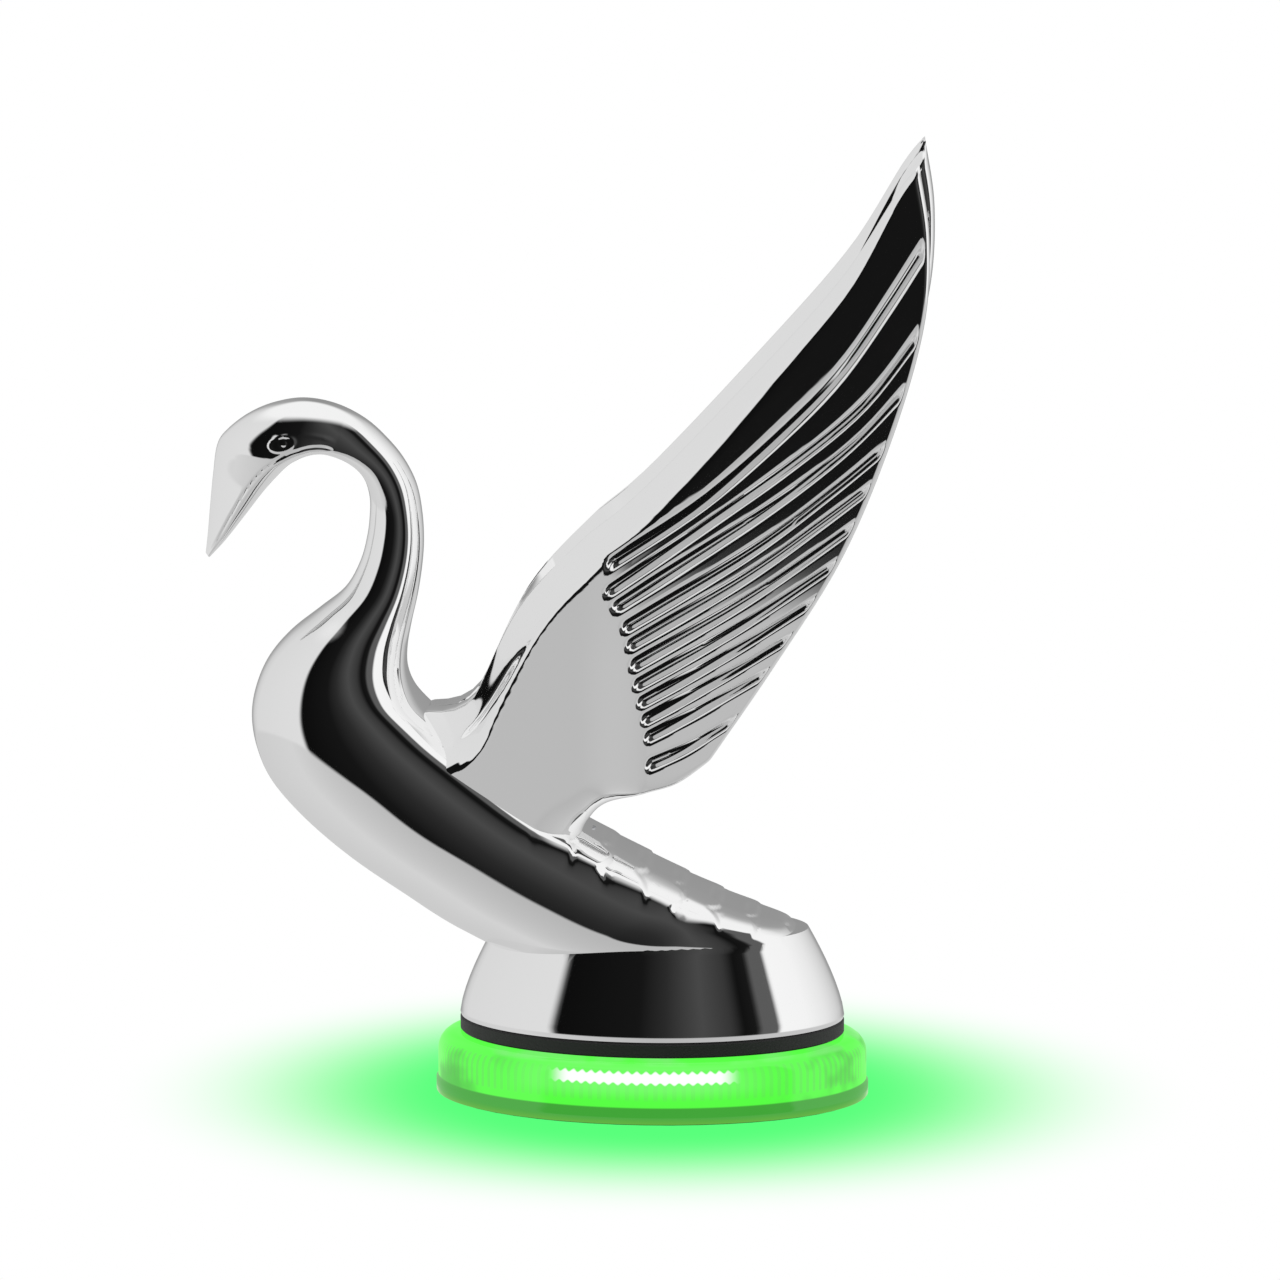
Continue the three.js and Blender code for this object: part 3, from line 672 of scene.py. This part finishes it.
def pedestal_rows(sides):
    """Rows up the pedestal, whose side curves inwards from a rounded lower edge."""
    foot, width = reach_of("pedestal_gasket")
    outline = [
        (foot - PEDESTAL_EDGE, PEDESTAL_FOOT),
        (foot - PEDESTAL_EDGE_MIDDLE, PEDESTAL_FOOT + PEDESTAL_EDGE_MIDDLE),
    ]
    side = PEDESTAL_RISE - PEDESTAL_EDGE
    for rise in steps_through((0.0, 1.0, PEDESTAL_STEPS)):
        reach = foot - PEDESTAL_INSET * rise ** PEDESTAL_CURVE
        outline.append((reach, PEDESTAL_FOOT + PEDESTAL_EDGE + side * rise))
    return [oval_row(reach, height, foot - width, sides) for reach, height in outline]


def build_body(settings):
    """The bird, joined to its pedestal in one casting."""
    stretches = [(start, end, round((end - start) / step)) for start, end, step in ROW_STEPS]
    places = steps_through(*stretches)
    bm = bmesh.new()
    loft(bm, [body_row(place, settings.body_sides) for place in places], capped=True)
    bird = new_object("swan_casting", bm)

    bm = bmesh.new()
    loft(bm, pedestal_rows(settings.pedestal_sides), capped=True)
    pedestal = new_object("pedestal_casting", bm)

    union = bird.modifiers.new("Union", "BOOLEAN")
    union.operation = "UNION"
    union.solver = "EXACT"
    union.object = pedestal
    apply_modifiers(bird)
    bpy.data.objects.remove(pedestal)
    smooth_shading(bird, SHARP_ANGLE)
    return bird


# ---------- the wings ----------
START = 0.36                     # share of a feather line that lies over the shoulder
# How far the wing's flat stands from the middle plane, in millimetres and slopes.
WING_SPREAD = 14.3               # at SPREAD_HEIGHT, over the middle of the base
SPREAD_HEIGHT = 60.0
LEAN_OUT = 0.036                 # outwards with height
REAR_LEAN = 0.07                 # outwards with the distance behind the middle
FRONT_LEAN = 0.03                # inwards with the distance in front of it
ROOT_HEIGHT = 86.0               # below this the wing curves in to the body
ROOT_CURVE = 0.001
SHOULDER_HEIGHT = 92.0           # below this its front part leans in more
SHOULDER_FALL = 22.0
SHOULDER_LEAN = 0.03
SHOULDER_START = 10.0
ROOT_DEPTH = 2.0                 # the root reaches this far down into the body
THINNEST = 0.06                  # least metal between the wing's two faces
BEVEL_SOFTNESS = 0.15
GROOVE_ROUNDING = 0.25
GROOVE_END = 1.2                 # a groove runs out over this length before the plain rim
LEAVES_MIDDLE = (0.04, 0.22)     # shares between which the inner face leaves the middle plane
BEVEL_START = (0.06, 0.14)
LEAD_BLEND = 3                   # bevel widths over which the leading edge's thickness fades out


def feather_row(orders, share):
    """Side view of the wing's places at one share of the way out, leading to bottom edge."""
    knots = []
    for _, shoulder, feather in FEATHER_LINES:
        if share <= START:
            points = [Vector((x, 0, z)) for x, z in shoulder]
            knots.append(even_spline(points, share / START))
        else:
            points = [Vector((x, 0, z)) for x, z in feather]
            knots.append(even_spline(points, (share - START) / (1 - START)))
    lines = [line[0] for line in FEATHER_LINES]
    row = []
    for order in orders:
        index = max(i for i in range(len(lines) - 1) if lines[i] <= order + 1e-9)
        t = (order - lines[index]) / (lines[index + 1] - lines[index])
        row.append(spline(knots, (index + t) / (len(lines) - 1)))
    return row


def spread_at(place):
    """Distance of the wing's flat from the middle plane."""
    below_root = max(ROOT_HEIGHT - place.z, 0.0)
    below_shoulder = min(max(SHOULDER_HEIGHT - place.z, 0.0), SHOULDER_FALL)
    in_front = smooth_step(0.0, SHOULDER_START, -place.x)
    lean = LEAN_OUT * (place.z - SPREAD_HEIGHT) - ROOT_CURVE * below_root ** 2
    lean -= SHOULDER_LEAN * below_shoulder * in_front
    lean += REAR_LEAN * max(place.x, 0.0) + FRONT_LEAN * min(place.x, 0.0)
    return WING_SPREAD + lean


def wing_shares():
    """Steps along a feather line, close together where the grooves start and end."""
    before, after, near_end = START - 0.03, START + 0.05, 0.94
    return steps_through(
        (0.0, before, 20), (before, after, 18), (after, near_end, 22), (near_end, 1.0, 16)
    )


def wing_orders(settings):
    """Steps from the leading to the bottom edge, close together at both."""
    edge, inside = 0.024, 0.05
    count = (settings.groove_count + 1) * settings.steps_per_feather
    return steps_through(
        (0.0, edge, 10), (edge, inside, 4), (inside, 1.0 - edge, count), (1.0 - edge, 1.0, 10)
    )


def between_stops(stops, share):
    """Sizes at a share, eased from each stop to the next."""
    for (start, *low), (end, *high) in zip(stops, stops[1:]):
        if share <= end:
            t = smooth_step(start, end, share)
            return [a + (b - a) * t for a, b in zip(low, high)]
    return list(stops[-1][1:])


def roll(distance, width, depth):
    """How far a rolled edge has dropped at a distance from it: a quarter of an ellipse."""
    if distance >= width:
        return 0.0
    return depth * (1.0 - math.sqrt(1.0 - (1.0 - distance / width) ** 2))


def bevel(distance, width, depth):
    """How far a bevelled edge has dropped at a distance from it; its inner corner is softened."""
    inward = width - distance
    return depth / width * (math.hypot(inward, BEVEL_SOFTNESS) + inward) / 2


def groove_lines(settings, orders, across):
    """How far each groove's middle lies from the leading edge in one row, and its half width."""
    count = settings.groove_count + 1
    middles = []
    for k in range(count + 1):
        wanted = k / count
        c = max(i for i in range(len(orders) - 1) if orders[i] <= wanted + 1e-9)
        t = (wanted - orders[c]) / (orders[c + 1] - orders[c])
        middles.append(across[c] + (across[c + 1] - across[c]) * t)
    lines = []
    for above, middle, below in zip(middles, middles[1:], middles[2:]):
        pitch = min(middle - above, below - middle)
        width = min(settings.groove_share * pitch, settings.groove_width / MM)
        lines.append((middle, width / 2))
    return lines


def groove_depth(settings, lines, place, from_start, to_end):
    """How deep the nearest V-shaped feather groove is cut at a place, in millimetres."""
    middle, half = min(lines, key=lambda line: abs(place - line[0]))
    across = abs(place - middle)
    if from_start < half:
        across = math.hypot(across, half - from_start)
    rim = to_end - settings.rim_width / MM
    if from_start < -half or across >= half or rim <= 0:
        return 0.0
    slope = 1.0 - across / half
    trough = slope - math.sin(math.tau * slope) / math.tau * GROOVE_ROUNDING
    return settings.groove_slope * half * trough * smooth_step(0.0, GROOVE_END, rim)


def running_lengths(places):
    """Length of the line through the places, up to each of them."""
    lengths = [0.0]
    for a, b in zip(places, places[1:]):
        lengths.append(lengths[-1] + (b - a).length)
    return lengths


def wing_surface(settings):
    """Grids of outer and inner places for the near wing, one row for each share."""
    orders, shares = wing_orders(settings), wing_shares()
    side = [feather_row(orders, share) for share in shares]
    along = [running_lengths([row[c] for row in side]) for c in range(len(orders))]
    first = min(r for r, share in enumerate(shares) if share >= START)
    outer, inner = [], []
    for r, share in enumerate(shares):
        across = running_lengths(side[r])
        lines = groove_lines(settings, orders, across)
        leading = between_stops(LEADING_EDGE, share)
        bottom = between_stops(BOTTOM_ROLL, share)
        leaves_middle = smooth_step(*LEAVES_MIDDLE, share)
        bevelled = smooth_step(*BEVEL_START, share)
        inner_width, inner_depth = between_stops(INNER_BEVEL, share)
        outer_row, inner_row = [], []
        for c, place in enumerate(side[r]):
            flat = spread_at(place)
            edge = bevel(across[c], *leading) + roll(across[-1] - across[c], *bottom)
            to_end = along[c][-1] - along[c][r]
            edge += roll(to_end, *TRAILING_ROLL)
            from_start = along[c][r] - along[c][first]
            depth = groove_depth(settings, lines, across[c], from_start, to_end)
            thickness = settings.thickness / MM
            near_lead = 1 - smooth_step(inner_width, inner_width * LEAD_BLEND, across[c])
            thickness += (leading[1] + inner_depth - thickness) * near_lead
            back = max(flat - thickness, 0.0) * leaves_middle
            back += bevel(across[c], inner_width, inner_depth) * bevelled
            rim = roll(to_end, TRAILING_ROLL[0], thickness - TRAILING_ROLL[1])
            back += rim + depth * settings.inner_groove_share
            front = max(flat - edge - depth, 0.0)
            thinnest = THINNEST if to_end > 0 else 0.0
            back = min(back, max(front - thinnest, 0.0))
            outer_row.append((place.x, -front, place.z))
            inner_row.append((place.x, -back, place.z))
        outer.append(outer_row)
        inner.append(inner_row)
    return outer, inner


def build_wings(settings):
    """Both raised wings and the saddle between them, from the near wing and its mirror image."""
    outer, inner = wing_surface(settings)
    root = [(x, 0.0, z - ROOT_DEPTH) for x, _, z in outer[0]]
    rows = [root + root[::-1]]
    rows += [front + back[::-1] for front, back in zip(outer, inner)]
    bm = bmesh.new()
    loft(bm, rows)
    bmesh.ops.remove_doubles(bm, verts=bm.verts, dist=MERGE)
    middle = [face for face in bm.faces if all(abs(v.co.y) < MERGE for v in face.verts)]
    bmesh.ops.delete(bm, geom=middle, context="FACES")
    bmesh.ops.mirror(bm, geom=bm.verts[:] + bm.edges[:] + bm.faces[:], axis="Y", merge_dist=MERGE)
    bmesh.ops.remove_doubles(bm, verts=bm.verts, dist=MERGE)
    bmesh.ops.recalc_face_normals(bm, faces=bm.faces)
    wings = new_object("wing_casting", bm)
    smooth_shading(wings, WING_SHARP_ANGLE)
    return wings


# ---------- the base ----------
GASKET_SIDES = 128
GASKET_WIDTH = 2.4
GASKET_EDGE = 0.3
LENS_WALL = 2.0
LENS_EDGE = 3.0                  # radius of its rounded upper edge
LENS_EDGE_STEPS = 6
LENS_OPENING = 5.9               # the opening above the lamps is set in from the side by this
BEAD = 0.3                       # the bead round the foot stands out this far
BEAD_TOP = 1.2                   # and reaches this far up from the foot
BEAD_SLOPE = 0.4
LIP_BEVEL = (0.1, 0.15)
CEILING_BEVEL = 1.0
RIB_FOOT = 2.4
RIB_DEPTH = 0.45


def build_gasket():
    """A flat rubber ring with bevelled outer edges."""
    reach, width = reach_of("pedestal_gasket")
    foot, top = LENS_TOP + TOUCH, PEDESTAL_FOOT - TOUCH
    outline = [
        (reach - GASKET_WIDTH, foot), (reach - GASKET_EDGE, foot), (reach, foot + GASKET_EDGE),
        (reach, top - GASKET_EDGE), (reach - GASKET_EDGE, top), (reach - GASKET_WIDTH, top),
    ]
    bm = bmesh.new()
    loft_round(bm, [oval_row(out, height, reach - width, GASKET_SIDES) for out, height in outline])
    piece = new_object("oval_gasket", bm)
    smooth_shading(piece, SHARP_ANGLE)
    return piece


def build_lens(settings):
    """A skirt with a bead round its foot, a rounded upper edge, and upright ribs inside."""
    reach, width = reach_of("lens")
    side = reach - BEAD
    bore = side - LENS_WALL
    opening = side - LENS_OPENING
    foot, top = LENS_FOOT, LENS_TOP
    ceiling = top - LENS_WALL
    sides = settings.lens_ribs * 2
    outline = [(side, foot), (side, LIP), (reach - LIP_BEVEL[0], LIP), (reach, LIP + LIP_BEVEL[1])]
    outline += [(reach, foot + BEAD_TOP), (side, foot + BEAD_TOP + BEAD_SLOPE)]
    for turn in steps_through((0.0, math.pi / 2, LENS_EDGE_STEPS)):
        inward, down = 1 - math.cos(turn), 1 - math.sin(turn)
        outline.append((side - LENS_EDGE * inward, top - LENS_EDGE * down))
    outline += [(opening, top), (opening, ceiling), (bore - CEILING_BEVEL, ceiling)]
    outline += [(bore, ceiling - CEILING_BEVEL), (bore, foot + RIB_FOOT), (bore, foot)]
    rows = [oval_row(out, height, reach - width, sides) for out, height in outline]
    for index in (-3, -2):
        inset = oval_row(bore - RIB_DEPTH, outline[index][1], reach - width, sides)
        rows[index][1::2] = inset[1::2]
    bm = bmesh.new()
    loft_round(bm, rows)
    piece = new_object("ribbed_lens", bm)
    smooth_shading(piece, SHARP_ANGLE)
    return piece


# ---------- fittings that keep the frame's shape ----------
ZINC = (*[f"base_screw_{number}" for number in range(1, 5)], "wing_screw", "wing_washer")
BRASS = ("insert_front", "insert_rear", "terminal_pos", "terminal_neg")
COMPONENTS = (*[f"resistor_{number}" for number in range(1, 6)], "diode")


def give_finish(material, nodes):
    """Puts a material on nodes that keep the frame's own meshes."""
    for name in nodes:
        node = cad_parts[name]
        if not node.material_slots:
            node.data.materials.append(material)
        node.material_slots[0].material = material


def finish_fittings(glow_color):
    """Finishes for the pad, the base plate, the board and all that is fixed to them."""
    rubber = rubber_material("pad_rubber", (0.016, 0.016, 0.017))
    give_finish(rubber, ("base_pad", "wire_grommet"))
    give_finish(plain_material("black_plastic", (0.02, 0.02, 0.022), 0.42), ("base_plate",))
    give_finish(plain_material("circuit_board", (0.012, 0.09, 0.035), 0.35), ("led_board",))
    give_finish(plain_material("zinc_steel", (0.6, 0.61, 0.63), 0.28, metallic=1.0), ZINC)
    give_finish(plain_material("brass", (0.79, 0.6, 0.3), 0.24, metallic=1.0), BRASS)
    give_finish(plain_material("black_epoxy", (0.02, 0.02, 0.02), 0.35), COMPONENTS)
    lamps = [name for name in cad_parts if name.startswith("led_") and name != "led_board"]
    give_finish(plain_material("lit_led", glow_color, 0.2, glow=1.5), lamps)
    for name in lamps:
        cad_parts[name].visible_glossy = False  # the plating above doesn't mirror them


# ---------- stage ----------
# Brightness round the studio, by direction in degrees from the camera's side towards +X.
STUDIO_RING = (
    (-180, 0.30), (-158, 0.38), (-140, 0.66), (-125, 0.74), (-43, 0.78), (-39, 0.004), (-6, 0.008),
    (4, 0.025), (18, 0.07), (30, 0.04), (36, 0.006), (43, 0.010), (46, 0.11), (55, 0.11),
    (58, 0.99), (80, 0.97), (105, 0.86), (130, 0.70), (145, 0.58), (160, 0.36), (180, 0.30),
)
# Brightness of the table below the horizon and of the canopy above it, by the same measure.
TABLE_RING = ((-180, 0.62), (-60, 0.70), (-30, 0.60), (0, 0.50), (60, 0.60), (180, 0.66))
CANOPY = 0.96
# Elevations, in degrees, between which the table fades into the room and the room into the canopy.
TABLE_EDGE = (-17.0, -14.0)
CANOPY_EDGE = (45.0, 62.0)
FLOOR_SIZE = 3.0
GLOW_REACH = 88 * MM
GLOW_WIDTH = 74 * MM
GLOW_FADE = (1.0, 0.3)           # shares of its reach at which it is gone and at which it is full
GLOW_GREEN = (0.1, 1.0, 0.2, 1.0)
CAMERA_PLACE = (60.6, -966.3, 259.9)
CAMERA_LENS = 180.2
CAMERA_AZIMUTH = math.radians(3.7)
CAMERA_ELEVATION = math.radians(11.0)


def studio_world():
    """A pale studio with a dark side behind the camera, which the plating mirrors."""
    world = bpy.data.worlds.new("studio")
    bpy.context.scene.world = world
    tree = Tree(world)
    direction = tree.add("ShaderNodeTexCoord", None, output=0)
    x, y, z = tree.split(direction)
    turn = x.math("ARCTAN2", y * -1.0) / math.tau + 0.5
    height = z.math("ARCSINE") / math.pi * 180.0

    def ring(levels):
        stops = [(angle / 360.0 + 0.5, grey(level)) for angle, level in levels]
        return tree.add("ShaderNodeValToRGB", {"stops": stops}, turn)

    table = tree.mix(tree.step(height, *TABLE_EDGE), ring(TABLE_RING), ring(STUDIO_RING))
    room = tree.mix(tree.step(height, *CANOPY_EDGE), table, grey(CANOPY))
    to_camera = tree.add("ShaderNodeLightPath", None)
    seen = tree.mix(to_camera, room, grey(1.0))
    shader = tree.add("ShaderNodeBackground", None, seen, 1.0)
    tree.out("ShaderNodeOutputWorld", shader)


def build_floor():
    """A white floor with the lens's glow round the base."""
    bm = bmesh.new()
    bmesh.ops.create_grid(bm, x_segments=1, y_segments=1, size=FLOOR_SIZE)
    floor = new_object("floor", bm)
    material, tree = new_material("pale_floor")
    x, y, _ = tree.split(tree.object_place())
    along, across = x / GLOW_REACH, y / GLOW_WIDTH
    distance = (along * along + across * across).math("SQRT")
    glow = tree.step(distance, *GLOW_FADE, curve="SMOOTHERSTEP")
    color = tree.mix(glow, grey(1.0), GLOW_GREEN)
    shader = tree.add("ShaderNodeEmission", None, color, 1.0)
    tree.out("ShaderNodeOutputMaterial", shader)
    floor.data.materials.append(material)
    floor.visible_glossy = False


def build_camera():
    camera = bpy.data.cameras.new("camera")
    camera.sensor_width = 36.0
    camera.lens = CAMERA_LENS
    camera.clip_end = 10.0
    eye = bpy.data.objects.new("camera", camera)
    bpy.context.scene.collection.objects.link(eye)
    eye.location = Vector(CAMERA_PLACE) * MM
    back = Vector((
        math.sin(CAMERA_AZIMUTH) * math.cos(CAMERA_ELEVATION),
        -math.cos(CAMERA_AZIMUTH) * math.cos(CAMERA_ELEVATION),
        math.sin(CAMERA_ELEVATION),
    ))
    eye.rotation_euler = back.to_track_quat("Z", "Y").to_euler()
    bpy.context.scene.camera = eye


def build_stage():
    studio_world()
    build_floor()
    build_camera()
    bpy.context.scene.view_settings.view_transform = "Standard"


# ---------- sizes a user can change ----------
def length_property(name, description, default):
    return FloatProperty(
        name=name, description=description, default=default, min=0.0, unit="LENGTH"
    )


def share_property(name, description, default):
    return FloatProperty(name=name, description=description, default=default, subtype="FACTOR")


def count_property(name, description, default, least):
    return IntProperty(name=name, description=description, default=default, min=least)


class BodySettings(bpy.types.PropertyGroup):
    body_sides: count_property("Sides", "Mesh steps round the bird", 144, 16)
    pedestal_sides: count_property("Pedestal sides", "Mesh steps round the pedestal", 128, 16)


class WingSettings(bpy.types.PropertyGroup):
    groove_count: count_property("Grooves", "Feather grooves on each wing", 11, 1)
    steps_per_feather: count_property("Steps", "Mesh steps across a feather", 14, 4)
    groove_share: share_property("Groove share", "Most of a feather's width that is cut", 0.86)
    groove_slope: FloatProperty(
        name="Slope", description="Groove depth over half its width", default=1.0
    )
    inner_groove_share: share_property("Inner grooves", "Depth of the ridge behind a groove", 0.3)
    groove_width: length_property("Groove width", "Widest groove", 2.8 * MM)
    rim_width: length_property("Rim", "Plain rim at the trailing edge", 1.3 * MM)
    thickness: length_property("Thickness", "Thickness of the wing", 2.6 * MM)


class BaseSettings(bpy.types.PropertyGroup):
    lens_ribs: count_property("Lens ribs", "Upright ribs inside the lens", 144, 8)


class FinishSettings(bpy.types.PropertyGroup):
    chrome_tint: FloatVectorProperty(
        name="Chrome", description="Colour of the plating", subtype="COLOR", default=(0.92, 0.92, 0.92)
    )
    lens_color: FloatVectorProperty(
        name="Lens", description="Colour of the lit lens", subtype="COLOR", default=(0.1, 1.0, 0.06)
    )


class ORNAMENT_OT_body(bpy.types.Operator):
    """Build the bird and its pedestal"""
    bl_idname = "ornament.body"
    bl_label = "Swan and pedestal"

    def execute(self, context):
        chrome = chrome_material("chrome_plate", context.scene.ornament_finish.chrome_tint)
        finish_piece(build_body(context.scene.ornament_body), chrome, "chrome", "swan_body")
        return {"FINISHED"}


class ORNAMENT_OT_wings(bpy.types.Operator):
    """Build the pair of wings"""
    bl_idname = "ornament.wings"
    bl_label = "Wings"

    def execute(self, context):
        chrome = chrome_material("chrome_plate_wings", context.scene.ornament_finish.chrome_tint)
        finish_piece(build_wings(context.scene.ornament_wing), chrome, "chrome", "wing_pair")
        return {"FINISHED"}


class ORNAMENT_OT_base(bpy.types.Operator):
    """Build the gasket and the lens"""
    bl_idname = "ornament.base"
    bl_label = "Lighted base"

    def execute(self, context):
        settings = context.scene.ornament_base
        color = context.scene.ornament_finish.lens_color
        rubber = rubber_material("black_rubber", (0.012, 0.012, 0.012))
        finish_piece(build_gasket(), rubber, "black_rubber", "pedestal_gasket")
        green = lens_material("green_lens", color, *reach_of("lens"), settings.lens_ribs)
        lens = finish_piece(build_lens(settings), green, "green_lens", "lens")
        lens.visible_glossy = False
        return {"FINISHED"}


class ORNAMENT_OT_fittings(bpy.types.Operator):
    """Give the fittings under and inside the casting their finishes"""
    bl_idname = "ornament.fittings"
    bl_label = "Fittings"

    def execute(self, context):
        finish_fittings(context.scene.ornament_finish.lens_color)
        return {"FINISHED"}


class ORNAMENT_OT_stage(bpy.types.Operator):
    """Set the floor, the studio light and the camera"""
    bl_idname = "ornament.stage"
    bl_label = "Studio"

    def execute(self, context):
        build_stage()
        return {"FINISHED"}


OPERATORS = (
    ORNAMENT_OT_body, ORNAMENT_OT_wings, ORNAMENT_OT_base, ORNAMENT_OT_fittings, ORNAMENT_OT_stage,
)
SETTINGS = {
    "ornament_body": BodySettings,
    "ornament_wing": WingSettings,
    "ornament_base": BaseSettings,
    "ornament_finish": FinishSettings,
}


class ORNAMENT_PT_panel(bpy.types.Panel):
    """Sizes and finishes of the ornament, and the steps that build it"""
    bl_label = "Swan Hood Ornament"
    bl_idname = "ORNAMENT_PT_panel"
    bl_space_type = "VIEW_3D"
    bl_region_type = "UI"
    bl_category = "Ornament"

    def draw(self, context):
        for name, group in SETTINGS.items():
            box = self.layout.box()
            for setting in group.__annotations__:
                box.prop(getattr(context.scene, name), setting)
        for operator in OPERATORS:
            self.layout.operator(operator.bl_idname)


def register():
    for cls in (*SETTINGS.values(), *OPERATORS, ORNAMENT_PT_panel):
        bpy.utils.register_class(cls)
    for name, group in SETTINGS.items():
        setattr(bpy.types.Scene, name, PointerProperty(type=group))


def unregister():
    for name in SETTINGS:
        delattr(bpy.types.Scene, name)
    for cls in (ORNAMENT_PT_panel, *reversed(OPERATORS), *SETTINGS.values()):
        bpy.utils.unregister_class(cls)


def main():
    register()
    bpy.ops.ornament.body()
    bpy.ops.ornament.wings()
    bpy.ops.ornament.base()
    bpy.ops.ornament.fittings()
    bpy.ops.ornament.stage()


if __name__ == "__main__":
    main()
